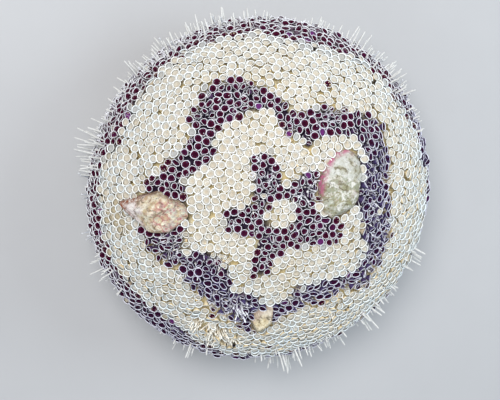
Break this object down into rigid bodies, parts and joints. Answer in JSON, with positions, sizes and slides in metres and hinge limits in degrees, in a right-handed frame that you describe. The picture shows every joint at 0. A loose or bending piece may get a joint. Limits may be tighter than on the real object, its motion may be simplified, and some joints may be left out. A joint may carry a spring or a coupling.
{
  "type": "flower sea urchin",
  "caption": "Low domed sea urchin at rest, mouth down, coated with round cup-shaped pincers, short spines and tube feet, with three bits of rubble carried on top.",
  "frame": {"origin": "on the floor, straight below the body's axis from the apex to the mouth", "axes": "+Z up along the body's axis, from the mouth to the apex; +X to the right and +Y up in the picture's near top view"},
  "size_m": [0.1316, 0.1314, 0.0676],
  "materials": {
    "ambulacrum": "soft living tissue, cream with deep purple cups, thin bright white rims, faintly moist",
    "interambulacrum": "soft living tissue, cream cups with a purple ring and a purple margin, thin bright white rims, faintly moist",
    "apical_disc": "cream cups over a low anal cone, faintly moist",
    "peristome": "soft mouth membrane, moist",
    "teeth": "hard white tooth, slightly glossy",
    "rubble_left": "worn angular coral rubble, cream and brown, matte",
    "rubble_right": "worn flat oval stone, speckled grey with a pink rim of coralline crust, matte",
    "rubble_chip": "small cream chip of rubble, matte"
  },
  "bodies": {
    "root": {"ambulacrum_1": "ambulacrum", "ambulacrum_2": "ambulacrum", "ambulacrum_3": "ambulacrum", "ambulacrum_4": "ambulacrum", "ambulacrum_5": "ambulacrum", "interambulacrum_1": "interambulacrum", "interambulacrum_2": "interambulacrum", "interambulacrum_3": "interambulacrum", "interambulacrum_4": "interambulacrum", "interambulacrum_5": "interambulacrum", "apical_disc": "apical_disc", "peristome": "peristome", "teeth": "teeth", "rubble_left": "rubble_left", "rubble_right": "rubble_right", "rubble_chip": "rubble_chip"}
  },
  "joints": []
}
